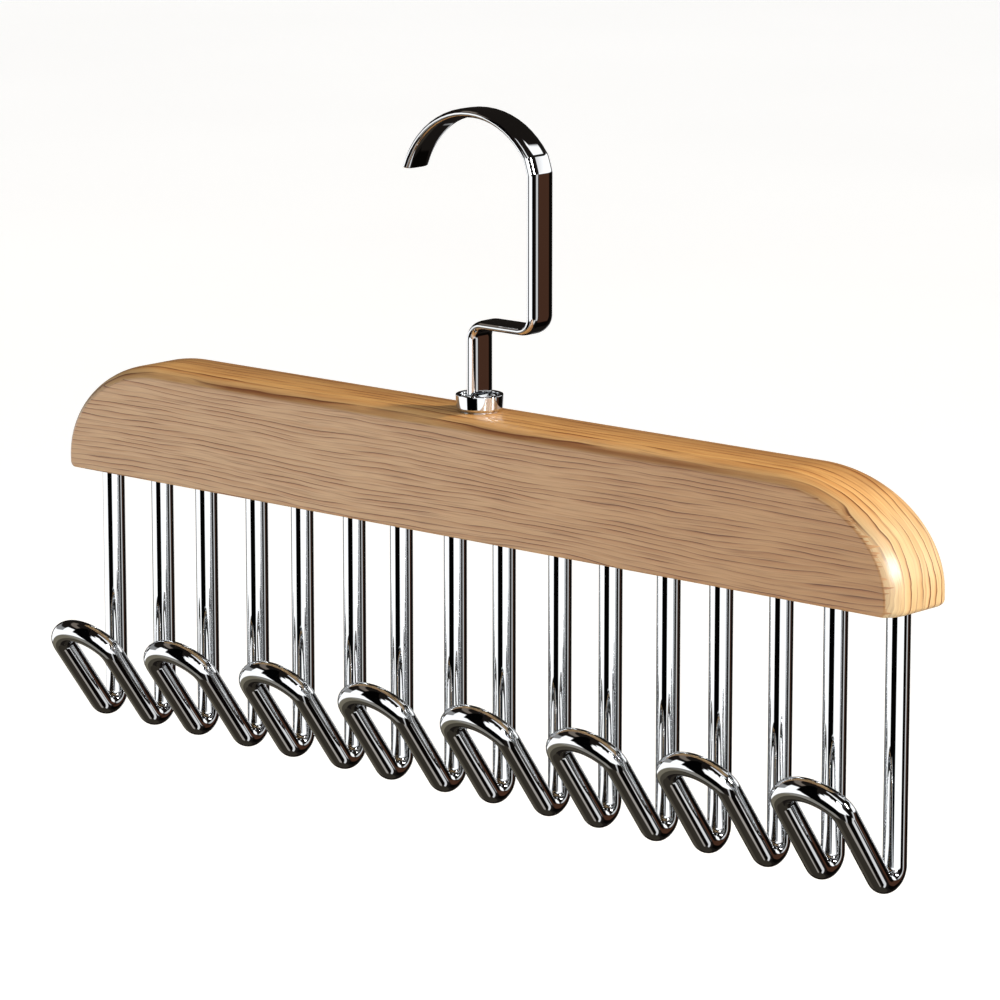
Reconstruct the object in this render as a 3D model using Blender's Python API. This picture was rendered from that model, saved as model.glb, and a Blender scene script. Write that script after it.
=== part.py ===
# Multi-hook hanger: a lacquered wooden bar that swivels under a flat chrome hook and carries a row of
# bent wire hooks. Metres, +Z up, X along the bar, -Y the side the wire hooks open to.
# The origin is the point inside the top of the swivel hook that rests on the clothes rail.

import math

import bmesh
import bpy
from mathutils import Matrix, Vector

# Clearances
SEAT_GAP = 0.0003            # between a piece and the piece it is seated in
TURN_GAP = 0.0004            # round the shank, where the bar turns about it
RECESS_GAP = 0.0004          # round the nut and washer in their recess
CUP_GAP = 0.0006             # round the flat band inside the collar

# Swivel hook: a flat band with half-oval edges, whose lower end is worked into a round shank
BAND_THICKNESS = 0.0030
BAND_WIDTH = 0.0112
BAND_EDGE_REACH = 0.0032     # how far the rounding of each edge comes in across the band
RAIL_RADIUS = 0.0272         # inside radius of the hook
TIP_ANGLE = math.radians(160)
POST_INSET = 0.0037          # how far the post stands inside the hook's widest point
TOP_BEND_RADIUS = 0.0095
ELBOW_RADIUS = 0.0048
ARM_DROP = 0.0648            # rail contact down to the middle of the arm
STEM_LENGTH = 0.0282         # middle of the arm down to the top of the bar
SHANK_RADIUS = 0.0025
SHANK_TAPER = 0.0012         # length in which the band becomes the shank

# Collar: a turned cup that rounds in to its foot, round the end of the band, with a spigot into the bar
COLLAR_HEIGHT = 0.0056
RIM_WALL = 0.0014
RIM_CHAMFER = 0.0003
CUP_DEPTH = 0.0018
WALL_TAPER = 0.0003          # how much narrower the wall has become where it starts to round in
FOOT_ROUNDING = 0.0018       # height of that rounding
FOOT_RADIUS = 0.0060
FOOT_SINK = 0.0005           # how far the foot stands in the wood
SPIGOT_RADIUS = 0.0042
SPIGOT_LENGTH = 0.0120

# Washer and lock nut in the recess under the bar
WASHER_RADIUS = 0.0045
WASHER_THICKNESS = 0.0010
NUT_ACROSS_FLATS = 0.0080
NUT_HEIGHT = 0.0036
LOCK_RING_RADIUS = 0.0037
LOCK_RING_HEIGHT = 0.0014
RECESS_DEPTH = 0.0090
SHANK_PAST_NUT = 0.0010

# Wire hooks
HOOK_COUNT = 8
WIRE_RADIUS = 0.0037
LEG_SPACING = 0.0233
LEG_DROP = 0.0785            # underside of the bar down to the centre of the low bend
LEG_SEAT = 0.0140            # length of leg held in the bar
LOW_BEND_RADIUS = 0.0043
LOOP_LEAN = math.radians(36.3)
LOOP_STRAIGHT = 0.0276
SHOULDER_RADIUS = 0.0065
SHOULDER_TURN = math.radians(42)

# Wooden bar
BAR_HEIGHT = 0.0385
BAR_THICKNESS = 0.0290
RECESS_WEB = 0.00135         # wood left between the nut recess and the nearest leg holes
END_MARGIN = 0.0092          # outermost leg to the end of the bar
END_CURVE_LENGTH = 0.0450
END_UPRIGHT = 0.0040         # straight part of the end above the underside
CORNER_RADIUS = 0.0020
EDGE_REACH = 0.0070          # how far the rounding of the top comes in from each face
EDGE_DROP = 0.0040           # how far it has fallen where it meets the face
END_EDGE_DROP = 0.0038       # the same on the ends
EDGE_ANGLE = math.radians(52)
UNDER_EDGE_RADIUS = 0.0008

# Facets
WIRE_SIDES = 12
EDGE_POINTS = 4
TURNED_SIDES = 32
HOLE_SIDES = 16
NUT_SIDES = 6

# Sizes that follow from the ones above
HALF_BAND = BAND_THICKNESS / 2
BAND_MID_RADIUS = RAIL_RADIUS + HALF_BAND
POST_X = BAND_MID_RADIUS - POST_INSET
BAR_TOP = -(ARM_DROP + STEM_LENGTH)
BAR_UNDERSIDE = BAR_TOP - BAR_HEIGHT
SHANK_HOLE_RADIUS = SHANK_RADIUS + TURN_GAP
CUP_RADIUS = BAND_WIDTH / 2 + CUP_GAP
RIM_RADIUS = CUP_RADIUS + RIM_WALL
CUP_FLOOR = BAR_TOP + COLLAR_HEIGHT - CUP_DEPTH
NUT_CORNER_RADIUS = NUT_ACROSS_FLATS / 2 / math.cos(math.pi / NUT_SIDES)
RECESS_RADIUS = max(NUT_CORNER_RADIUS, WASHER_RADIUS) + RECESS_GAP
RECESS_TOP = BAR_UNDERSIDE + RECESS_DEPTH
WASHER_TOP = RECESS_TOP - SEAT_GAP
NUT_TOP = WASHER_TOP - WASHER_THICKNESS - SEAT_GAP
SHANK_END = NUT_TOP - NUT_HEIGHT - LOCK_RING_HEIGHT - SHANK_PAST_NUT
LEG_HOLE_RADIUS = WIRE_RADIUS + SEAT_GAP
HOOK_SPACE = 2 * (RECESS_RADIUS + RECESS_WEB + LEG_HOLE_RADIUS)
HOOK_PITCH = LEG_SPACING + HOOK_SPACE
BAR_LENGTH = (HOOK_COUNT - 1) * HOOK_PITCH + LEG_SPACING + 2 * END_MARGIN

X_AXIS = Vector((1, 0, 0))
Y_AXIS = Vector((0, 1, 0))
Z_AXIS = Vector((0, 0, 1))


def clear_scene():
    for scene_object in list(bpy.data.objects):
        bpy.data.objects.remove(scene_object, do_unlink=True)


def make_material(name, colour, roughness, metallic):
    material = bpy.data.materials.new(name)
    material.use_nodes = True
    shader = material.node_tree.nodes["Principled BSDF"]
    shader.inputs["Base Color"].default_value = (*colour, 1)
    shader.inputs["Roughness"].default_value = roughness
    shader.inputs["Metallic"].default_value = metallic
    material.diffuse_color = (*colour, 1)
    return material


def make_object(name, mesh_builder, material, smooth_angle=35):
    """The mesh held by mesh_builder as a named object with one material."""
    bmesh.ops.recalc_face_normals(mesh_builder, faces=mesh_builder.faces)
    mesh = bpy.data.meshes.new(name)
    mesh_builder.to_mesh(mesh)
    mesh_builder.free()
    mesh.shade_smooth()
    mesh.set_sharp_from_angle(angle=math.radians(smooth_angle))
    if material:
        mesh.materials.append(material)
    new_object = bpy.data.objects.new(name, mesh)
    bpy.context.scene.collection.objects.link(new_object)
    return new_object


def cut(target, cutter, operation="DIFFERENCE"):
    """Boolean that leaves the cutter in the scene as a hidden guide."""
    modifier = target.modifiers.new(cutter.name, "BOOLEAN")
    modifier.operation = operation
    modifier.solver = "EXACT"
    modifier.object = cutter
    cutter.hide_render = True
    cutter.display_type = "WIRE"


def skin(mesh_builder, rings, closed=False):
    """Quads between neighbouring rings of points, with flat caps unless the rings close on themselves."""
    loops = [[mesh_builder.verts.new(point) for point in ring] for ring in rings]
    sides = len(loops[0])
    pairs = list(zip(loops, loops[1:]))
    if closed:
        pairs.append((loops[-1], loops[0]))
    for near, far in pairs:
        for i in range(sides):
            j = (i + 1) % sides
            mesh_builder.faces.new((near[i], near[j], far[j], far[i]))
    if not closed:
        mesh_builder.faces.new(loops[0])
        mesh_builder.faces.new(loops[-1])


def turned_rings(profile, sides, centre_x=0.0):
    """One ring of points round a vertical axis for each (radius, z) of the profile."""
    rings = []
    for radius, z in profile:
        angles = [2 * math.pi * i / sides for i in range(sides)]
        rings.append([(centre_x + radius * math.cos(a), radius * math.sin(a), z) for a in angles])
    return rings


def straight(length):
    return ("straight", length)


def bend(radius, angle, axis, steps):
    return ("bend", radius, angle, axis, steps)


def trace(start, heading, side, moves):
    """Follow straights and bends, and give (position, heading, side) wherever a ring is needed."""
    position, heading, side = Vector(start), Vector(heading), Vector(side)
    frames = [(position, heading, side)]
    for move in moves:
        if move[0] == "straight":
            position = position + heading * move[1]
            frames.append((position, heading, side))
            continue
        radius, angle, axis, steps = move[1:]
        centre = position + axis.cross(heading) * radius
        arm = position - centre
        for step in range(1, steps + 1):
            turn = Matrix.Rotation(angle * step / steps, 3, axis)
            frames.append((centre + turn @ arm, turn @ heading, turn @ side))
        position, heading, side = frames[-1]
    return frames


def round_ring(frame, radius, sides):
    position, heading, side = frame
    across = heading.cross(side)
    angles = [2 * math.pi * i / sides for i in range(sides)]
    return [position + (side * math.cos(a) + across * math.sin(a)) * radius for a in angles]


def band_ring(frame, half_thickness, half_width, edge_reach):
    """Flat-sided ring across the path with half-oval edges, flat to flat at the stated size."""
    position, heading, side = frame
    across = heading.cross(side)
    half_step = math.pi / 4 / EDGE_POINTS
    ring = []
    for quarter, sign in enumerate((1, -1, -1, 1)):
        centre = sign * (half_width - edge_reach)
        for i in range(EDGE_POINTS):
            angle = quarter * math.pi / 2 + half_step * (2 * i + 1)
            w = centre + edge_reach * math.cos(angle) / math.cos(half_step)
            t = half_thickness * math.sin(angle) / math.cos(half_step)
            ring.append(position + side * w + across * t)
    return ring


def end_profile(drop_x, drop_z, lift):
    """Half of the bar's outline as (x, z) above the underside, from the low corner to the top."""
    corner_steps, curve_steps = 3, 14
    end_x = BAR_LENGTH / 2 - drop_x
    points = []
    for i in range(corner_steps + 1):
        angle = -math.pi / 2 + math.pi / 2 * i / corner_steps
        x = end_x - CORNER_RADIUS + CORNER_RADIUS * math.cos(angle)
        z = lift + CORNER_RADIUS + CORNER_RADIUS * math.sin(angle)
        points.append((x, z))
    curve_x = BAR_LENGTH / 2 - END_CURVE_LENGTH
    for i in range(curve_steps + 1):
        angle = math.pi / 2 * i / curve_steps
        x = curve_x + (END_CURVE_LENGTH - drop_x) * math.cos(angle)
        z = END_UPRIGHT + (BAR_HEIGHT - END_UPRIGHT - drop_z) * math.sin(angle)
        points.append((x, z))
    return points


def bar_ring(depth):
    """The bar's outline at a depth in from a face, with the edges rounded over."""
    fall = 0.0
    if depth < EDGE_REACH:
        angle = math.asin((1 - depth / EDGE_REACH) * math.sin(EDGE_ANGLE))
        fall = (1 - math.cos(angle)) / (1 - math.cos(EDGE_ANGLE))
    lift = 0.0
    if depth < UNDER_EDGE_RADIUS:
        lift = UNDER_EDGE_RADIUS - math.sqrt(UNDER_EDGE_RADIUS**2 - (UNDER_EDGE_RADIUS - depth) ** 2)
    right = end_profile(END_EDGE_DROP * fall, EDGE_DROP * fall, lift)
    left = [(-x, z) for x, z in reversed(right)]
    return right + left


def make_bar(wood):
    round_steps, under_steps = 5, 2
    depths = {UNDER_EDGE_RADIUS * i / under_steps for i in range(under_steps)}
    for i in range(round_steps + 1):
        angle = EDGE_ANGLE * i / round_steps
        depths.add(EDGE_REACH * (1 - math.sin(angle) / math.sin(EDGE_ANGLE)))
    depths = sorted(max(depth, 0.0) for depth in depths)
    stations = [(-BAR_THICKNESS / 2 + depth, depth) for depth in depths]
    stations += [(BAR_THICKNESS / 2 - depth, depth) for depth in reversed(depths)]
    rings = []
    for y, depth in stations:
        rings.append([(x, y, BAR_UNDERSIDE + z) for x, z in bar_ring(depth)])
    builder = bmesh.new()
    skin(builder, rings)
    bmesh.ops.remove_doubles(builder, verts=builder.verts, dist=1e-6)
    bar = make_object("bar", builder, wood, smooth_angle=28)
    cut(bar, make_bar_cutter())
    return bar


def make_bar_cutter():
    """The stepped bore for collar, shank and nut, and the blind holes for the wire legs."""
    over = 0.002
    spigot_floor = BAR_TOP - FOOT_SINK - SPIGOT_LENGTH - SEAT_GAP
    foot_floor = BAR_TOP - FOOT_SINK - SEAT_GAP
    profile = [
        (FOOT_RADIUS + SEAT_GAP, BAR_TOP + over),
        (FOOT_RADIUS + SEAT_GAP, foot_floor),
        (SPIGOT_RADIUS + SEAT_GAP, foot_floor),
        (SPIGOT_RADIUS + SEAT_GAP, spigot_floor),
        (SHANK_HOLE_RADIUS, spigot_floor),
        (SHANK_HOLE_RADIUS, RECESS_TOP),
        (RECESS_RADIUS, RECESS_TOP),
        (RECESS_RADIUS, BAR_UNDERSIDE - over),
    ]
    builder = bmesh.new()
    skin(builder, turned_rings(profile, TURNED_SIDES))
    leg_top = BAR_UNDERSIDE + LEG_SEAT + SEAT_GAP
    for x in leg_places():
        hole = [(LEG_HOLE_RADIUS, BAR_UNDERSIDE - over), (LEG_HOLE_RADIUS, leg_top)]
        skin(builder, turned_rings(hole, HOLE_SIDES, x))
    return make_object("bar_cutter", builder, None)


def hook_centre(index):
    return (index - (HOOK_COUNT - 1) / 2) * HOOK_PITCH


def leg_places():
    return [hook_centre(i) + sign * LEG_SPACING / 2 for i in range(HOOK_COUNT) for sign in (-1, 1)]


def wire_moves():
    """One wire from the top of its left leg round the loop to the top of its right leg."""
    down = straight(LEG_SEAT + LEG_DROP)
    total_turn = math.pi - LOOP_LEAN
    to_lowest = bend(LOW_BEND_RADIUS, math.pi / 2, -X_AXIS, 4)
    to_loop = bend(LOW_BEND_RADIUS, total_turn - math.pi / 2, -X_AXIS, 3)
    loop_normal = Vector((0, math.cos(LOOP_LEAN), math.sin(LOOP_LEAN)))
    crown_half = LEG_SPACING / 2 - SHOULDER_RADIUS * (1 - math.cos(SHOULDER_TURN))
    crown_radius = crown_half / math.cos(SHOULDER_TURN)
    shoulder = bend(SHOULDER_RADIUS, SHOULDER_TURN, loop_normal, 3)
    crown = bend(crown_radius, math.pi - 2 * SHOULDER_TURN, loop_normal, 6)
    side = straight(LOOP_STRAIGHT)
    from_loop = bend(LOW_BEND_RADIUS, total_turn - math.pi / 2, X_AXIS, 3)
    to_leg = bend(LOW_BEND_RADIUS, math.pi / 2, X_AXIS, 4)
    return [down, to_lowest, to_loop, side, shoulder, crown, shoulder, side, from_loop, to_leg, down]


def make_wire_hook(index, chrome):
    start = (-LEG_SPACING / 2, 0, BAR_UNDERSIDE + LEG_SEAT)
    frames = trace(start, -Z_AXIS, X_AXIS, wire_moves())
    builder = bmesh.new()
    skin(builder, [round_ring(frame, WIRE_RADIUS, WIRE_SIDES) for frame in frames])
    wire_hook = make_object(f"wire_hook_{index + 1}", builder, chrome)
    wire_hook.location.x = hook_centre(index)
    return wire_hook


def make_swivel_hook(chrome):
    """The band from its tip over the rail, down the post, along the arm, and down the stem and shank."""
    centre_z = -RAIL_RADIUS
    bend_centre_x = POST_X - TOP_BEND_RADIUS
    bend_centre_z = math.sqrt((BAND_MID_RADIUS - TOP_BEND_RADIUS) ** 2 - bend_centre_x**2)
    blend_angle = math.atan2(bend_centre_z, bend_centre_x)
    post_length = centre_z + bend_centre_z + ARM_DROP - ELBOW_RADIUS
    band_end = CUP_FLOOR + SEAT_GAP + SHANK_TAPER
    stem_length = -ARM_DROP - ELBOW_RADIUS - band_end
    tip_end = 0.0005
    tip = Vector((math.cos(TIP_ANGLE), 0, math.sin(TIP_ANGLE))) * BAND_MID_RADIUS
    tip_heading = Vector((math.sin(TIP_ANGLE), 0, -math.cos(TIP_ANGLE)))
    moves = [
        bend(BAND_MID_RADIUS, TIP_ANGLE - math.pi / 2, Y_AXIS, 11),
        bend(BAND_MID_RADIUS, math.pi / 2 - blend_angle, Y_AXIS, 7),
        bend(TOP_BEND_RADIUS, blend_angle, Y_AXIS, 4),
        straight(post_length),
        bend(ELBOW_RADIUS, math.pi / 2, Y_AXIS, 4),
        straight(POST_X - 2 * ELBOW_RADIUS),
        bend(ELBOW_RADIUS, math.pi / 2, -Y_AXIS, 4),
        straight(stem_length),
    ]
    frames = trace(tip + Vector((0, 0, centre_z)), tip_heading, Y_AXIS, moves)
    half_width = BAND_WIDTH / 2
    position, heading, side = frames[0]
    first = (position - heading * tip_end, heading, side)
    rings = [band_ring(first, HALF_BAND - tip_end, half_width - tip_end, BAND_EDGE_REACH - tip_end)]
    rings += [band_ring(frame, HALF_BAND, half_width, BAND_EDGE_REACH) for frame in frames]
    below = (Vector((0, 0, band_end - SHANK_TAPER)), -Z_AXIS, Y_AXIS)
    lowest = (Vector((0, 0, SHANK_END)), -Z_AXIS, Y_AXIS)
    rings += [band_ring(frame, SHANK_RADIUS, SHANK_RADIUS, SHANK_RADIUS) for frame in (below, lowest)]
    builder = bmesh.new()
    skin(builder, rings)
    return make_object("swivel_hook", builder, chrome)


def make_collar(chrome):
    rim_top = BAR_TOP + COLLAR_HEIGHT
    foot_floor = BAR_TOP - FOOT_SINK
    wall_radius = RIM_RADIUS - WALL_TAPER
    round_steps = 4
    profile = [(CUP_RADIUS, rim_top), (RIM_RADIUS - RIM_CHAMFER, rim_top), (RIM_RADIUS, rim_top - RIM_CHAMFER)]
    for i in range(round_steps + 1):
        angle = math.pi / 2 * i / round_steps
        radius = FOOT_RADIUS + (wall_radius - FOOT_RADIUS) * math.cos(angle)
        profile.append((radius, BAR_TOP + SEAT_GAP + FOOT_ROUNDING * (1 - math.sin(angle))))
    profile += [
        (FOOT_RADIUS, foot_floor),
        (SPIGOT_RADIUS, foot_floor),
        (SPIGOT_RADIUS, foot_floor - SPIGOT_LENGTH),
        (SHANK_HOLE_RADIUS, foot_floor - SPIGOT_LENGTH),
        (SHANK_HOLE_RADIUS, CUP_FLOOR),
        (CUP_RADIUS, CUP_FLOOR),
    ]
    builder = bmesh.new()
    skin(builder, turned_rings(profile, TURNED_SIDES), closed=True)
    return make_object("collar", builder, chrome)


def make_washer(steel):
    inner = SHANK_RADIUS + SEAT_GAP
    low = WASHER_TOP - WASHER_THICKNESS
    profile = [(inner, WASHER_TOP), (WASHER_RADIUS, WASHER_TOP), (WASHER_RADIUS, low), (inner, low)]
    builder = bmesh.new()
    skin(builder, turned_rings(profile, TURNED_SIDES), closed=True)
    return make_object("washer", builder, steel)


def make_lock_nut(steel):
    """A hexagon with a round locking ring under it, bored for the shank."""
    overlap = 0.0005
    hexagon = bmesh.new()
    flat_low = NUT_TOP - NUT_HEIGHT
    skin(hexagon, turned_rings([(NUT_CORNER_RADIUS, NUT_TOP), (NUT_CORNER_RADIUS, flat_low)], NUT_SIDES))
    nut = make_object("lock_nut", hexagon, steel)
    ring = bmesh.new()
    low = flat_low - LOCK_RING_HEIGHT
    ring_profile = [(LOCK_RING_RADIUS, flat_low + overlap), (LOCK_RING_RADIUS, low)]
    skin(ring, turned_rings(ring_profile, TURNED_SIDES))
    cut(nut, make_object("lock_ring_shape", ring, None), "UNION")
    bore = bmesh.new()
    bore_radius = SHANK_RADIUS + SEAT_GAP
    bore_profile = [(bore_radius, NUT_TOP + overlap), (bore_radius, low - overlap)]
    skin(bore, turned_rings(bore_profile, HOLE_SIDES))
    cut(nut, make_object("nut_bore_cutter", bore, None))
    return nut


def build():
    clear_scene()
    wood = make_material("lacquered_wood", (0.49, 0.29, 0.15), 0.35, 0.0)
    chrome = make_material("polished_chrome", (0.75, 0.75, 0.77), 0.06, 1.0)
    steel = make_material("zinc_steel", (0.55, 0.55, 0.56), 0.35, 1.0)
    hanger = bpy.data.objects.new("hanger_turning", None)
    bpy.context.scene.collection.objects.link(hanger)
    turning = [make_bar(wood), make_collar(chrome)]
    turning += [make_wire_hook(i, chrome) for i in range(HOOK_COUNT)]
    for piece in turning:
        piece.parent = hanger
    make_swivel_hook(chrome)
    make_washer(steel)
    make_lock_nut(steel)


build()
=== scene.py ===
import math

import bmesh
import bpy
from mathutils import Matrix, Vector


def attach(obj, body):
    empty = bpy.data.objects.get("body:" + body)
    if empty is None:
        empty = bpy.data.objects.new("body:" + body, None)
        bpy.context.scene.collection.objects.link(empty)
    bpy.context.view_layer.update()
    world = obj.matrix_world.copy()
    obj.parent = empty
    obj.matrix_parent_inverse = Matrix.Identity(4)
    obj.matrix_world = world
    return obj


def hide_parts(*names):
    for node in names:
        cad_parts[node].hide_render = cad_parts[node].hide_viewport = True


# Wooden bar hanger: a flat chrome swivel hook above, a row of bent chrome wire hooks below.
# Metres, +Z up, X along the bar, -Y is the side to which the wire hooks stand out.
# The origin is inside the top of the swivel hook, where it rests on the rail.

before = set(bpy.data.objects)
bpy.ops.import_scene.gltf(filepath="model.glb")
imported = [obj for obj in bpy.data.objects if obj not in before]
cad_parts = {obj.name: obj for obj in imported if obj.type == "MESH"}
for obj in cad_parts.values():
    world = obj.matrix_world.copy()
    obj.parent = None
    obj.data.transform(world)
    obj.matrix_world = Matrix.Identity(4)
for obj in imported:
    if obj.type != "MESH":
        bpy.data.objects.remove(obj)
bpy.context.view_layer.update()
print("frame loaded:", len(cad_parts), "nodes")

mm = 0.001
xAxis = Vector((1, 0, 0))
yAxis = Vector((0, 1, 0))
zAxis = Vector((0, 0, 1))


def linearColour(hexColour):  # sRGB hex to the linear values that shaders work in
    channels = [int(hexColour[i:i + 2], 16) / 255 for i in (1, 3, 5)]
    linear = [c / 12.92 if c <= 0.04045 else ((c + 0.055) / 1.055) ** 2.4 for c in channels]
    return (*linear, 1.0)


def addNode(tree, kind, settings=None, links=None):
    # settings: attributes, input values or ramp stops (place, hex colour); links: input -> socket
    node = tree.nodes.new(kind)
    for key, value in (settings or {}).items():
        if key == "stops":
            ramp = node.color_ramp
            ramp.elements.remove(ramp.elements[-1])
            for i, (spot, colour) in enumerate(value):
                element = ramp.elements[0] if i == 0 else ramp.elements.new(spot)
                element.position = spot
                element.color = linearColour(colour)
        elif isinstance(key, str) and hasattr(node, key):
            setattr(node, key, value)
        else:
            node.inputs[key].default_value = value
    for key, socket in (links or {}).items():
        tree.links.new(socket, node.inputs[key])
    return node


def newMaterial(name):
    material = bpy.data.materials.new(name)
    material.use_nodes = True
    tree = material.node_tree
    return material, tree, tree.nodes["Principled BSDF"]


def makePiece(name, mesher, material, body, cadNode, smoothAngle=30):
    bmesh.ops.recalc_face_normals(mesher, faces=mesher.faces)
    mesh = bpy.data.meshes.new(name)
    mesher.to_mesh(mesh)
    mesher.free()
    mesh.shade_smooth()
    mesh.set_sharp_from_angle(angle=math.radians(smoothAngle))
    mesh.materials.append(material)
    piece = bpy.data.objects.new(name, mesh)
    bpy.context.scene.collection.objects.link(piece)
    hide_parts(cadNode)
    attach(piece, body)
    return piece


def cutAway(piece, mesher):
    # takes the shape in mesher out of the piece and keeps the result as the piece's mesh
    bmesh.ops.recalc_face_normals(mesher, faces=mesher.faces)
    shape = bpy.data.meshes.new("shape")
    mesher.to_mesh(shape)
    mesher.free()
    cutter = bpy.data.objects.new("cutter", shape)
    bpy.context.scene.collection.objects.link(cutter)
    boolean = piece.modifiers.new("cut", "BOOLEAN")
    boolean.solver = "EXACT"
    boolean.object = cutter
    evaluated = piece.evaluated_get(bpy.context.evaluated_depsgraph_get())
    cutMesh = bpy.data.meshes.new_from_object(evaluated)
    piece.modifiers.clear()
    oldMesh = piece.data
    piece.data = cutMesh
    bpy.data.meshes.remove(oldMesh)
    bpy.data.objects.remove(cutter)
    bpy.data.meshes.remove(shape)


def evenFlats(piece):
    # flat faces keep a flat reflection where they run into a rounded edge
    shading = piece.modifiers.new("evenFlats", "WEIGHTED_NORMAL")
    shading.keep_sharp = True


def addSkin(mesher, rings, closed=False):
    loops = [[mesher.verts.new(point) for point in ring] for ring in rings]
    sides = len(loops[0])
    pairs = list(zip(loops, loops[1:]))
    if closed:
        pairs.append((loops[-1], loops[0]))
    for near, far in pairs:
        for i in range(sides):
            j = (i + 1) % sides
            mesher.faces.new((near[i], near[j], far[j], far[i]))
    if not closed:
        mesher.faces.new(loops[0])
        mesher.faces.new(loops[-1])


def turnedRings(profile, sides, centreX=0.0):
    rings = []
    for radius, z in profile:
        angles = [2 * math.pi * i / sides for i in range(sides)]
        rings.append([(centreX + radius * math.cos(a), radius * math.sin(a), z) for a in angles])
    return rings


def roundedProfile(corners, steps):  # corners: (radius, z, rounding) all round the section
    points = []
    for i, (r, z, rounding) in enumerate(corners):
        here = Vector((r, z))
        if rounding <= 0:
            points.append((r, z))
            continue
        before = (Vector(corners[i - 1][:2]) - here).normalized()
        after = (Vector(corners[(i + 1) % len(corners)][:2]) - here).normalized()
        halfAngle = before.angle(after) / 2
        reach = rounding / math.tan(halfAngle)
        centre = here + (before + after).normalized() * rounding / math.sin(halfAngle)
        startArm = here + before * reach - centre
        endArm = here + after * reach - centre
        swing = math.atan2(startArm.x * endArm.y - startArm.y * endArm.x, startArm.dot(endArm))
        for k in range(steps + 1):
            a = swing * k / steps
            points.append((centre.x + startArm.x * math.cos(a) - startArm.y * math.sin(a),
                           centre.y + startArm.x * math.sin(a) + startArm.y * math.cos(a)))
    return points


def followPath(start, heading, side, runs):  # runs: ("go", length) or ("turn", radius, angle, axis)
    position, heading, side = Vector(start), Vector(heading), Vector(side)
    stations = [(position, heading, side)]
    for run in runs:
        if run[0] == "go":
            position = position + heading * run[1]
            stations.append((position, heading, side))
            continue
        radius, angle, axis = run[1:]
        centre = position + axis.cross(heading) * radius
        arm = position - centre
        steps = max(4, round(math.degrees(abs(angle)) / 6))  # one for each 6 degrees of bend
        for step in range(1, steps + 1):
            turn = Matrix.Rotation(angle * step / steps, 3, axis)
            stations.append((centre + turn @ arm, turn @ heading, turn @ side))
        position, heading, side = stations[-1]
    return stations


# Lacquered ash bar

bar = {
    "hookCount": 8, "hookPitch": 44.0376 * mm, "legSpacing": 23.3 * mm,
    "length": 349.96 * mm, "height": 38.5 * mm, "thickness": 29.0 * mm,
    "top": -93.0 * mm,
    "endCurve": 45.0 * mm, "endUpright": 4.0 * mm, "corner": 2.0 * mm,
    "edgeReach": 7.0 * mm, "edgeDrop": 4.0 * mm, "endEdgeDrop": 3.8 * mm,
    "edgeAngle": math.radians(52), "creaseSoft": 0.35 * mm, "underEdge": 0.8 * mm,
    "legHole": 3.75 * mm, "legSeat": 14.3 * mm, "holeEdge": 0.25 * mm,
    "footSeat": 0.8 * mm, "spigotHole": 12.8 * mm,
    "footClearance": 0.08 * mm, "spigotClearance": 0.1 * mm, "shankClearance": 0.4 * mm,
    "cornerSteps": 6, "curveSteps": 48, "edgeSteps": 14, "creaseSteps": 4, "smoothAngle": 26,
}
bar["underside"] = bar["top"] - bar["height"]
hookCentres = [(i - (bar["hookCount"] - 1) / 2) * bar["hookPitch"] for i in range(bar["hookCount"])]
legPlaces = [x + s * bar["legSpacing"] / 2 for x in hookCentres for s in (-1, 1)]

ash = {
    # the end colour is partly painted light: paler where the end lamp falls on the ends
    "faceWood": "#BC9A74", "redFaceWood": "#B1885C", "topWood": "#C79A5E", "litEndWood": "#BBA580",
    # the rear colour on this line is painted shade for the rear half of the top
    "streakWood": "#7E481C", "rearShadeColour": "#6B4526", "poreWood": "#7A5434",
    "roughness": 0.5, "coat": 0.6, "coatRoughness": 0.25, "lineRelief": 0.08 * mm,
    # rings 1.6 mm wide; on the rim half as many are drawn, so that no line is thinner than a pixel
    "ringWidth": 1.6 * mm, "rimShare": 0.5, "grainWander": 6.0 * mm,
    "tickLength": 2.4 * mm,
    "streakDepth": 1.0 * mm, "streakWidth": 1.3 * mm, "streakCore": 0.2 * mm,
    # sizes of the patterns: along the bar, through it, up
    "tickSize": (20 * mm, 1000 * mm, 0.9 * mm), "wanderSize": (80 * mm, 15 * mm, 18 * mm),
    "streakSize": (60 * mm, 20 * mm, 20 * mm),
    # sizes of the patterns that follow the grain: along the bar, across the lines, up
    "breakSize": (30 * mm, 2.2 * mm, 30 * mm), "poreSize": (28 * mm, 0.55 * mm, 28 * mm),
    "fibreSize": (8 * mm, 0.25 * mm, 8 * mm),
    # where one look goes over into the next: depth in from the face, depth below the top (ticks,
    # ends painted paler partly as painted light, dark streak and painted rear shade on the top),
    # place through the bar for the painted rear shade, and along it
    "creaseFade": (0.45 * mm, 0.15 * mm), "tickFade": (5 * mm, 9 * mm), "litEndFade": (0, 15 * mm),
    "topFade": (7 * mm, 4 * mm), "rearShadeFade": (-3 * mm, 9 * mm), "redFade": (-50 * mm, 170 * mm),
}


def scaleFor(size):  # the size of a pattern along each axis, as the scale of its mapping
    return tuple(1 / length for length in size)


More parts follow.
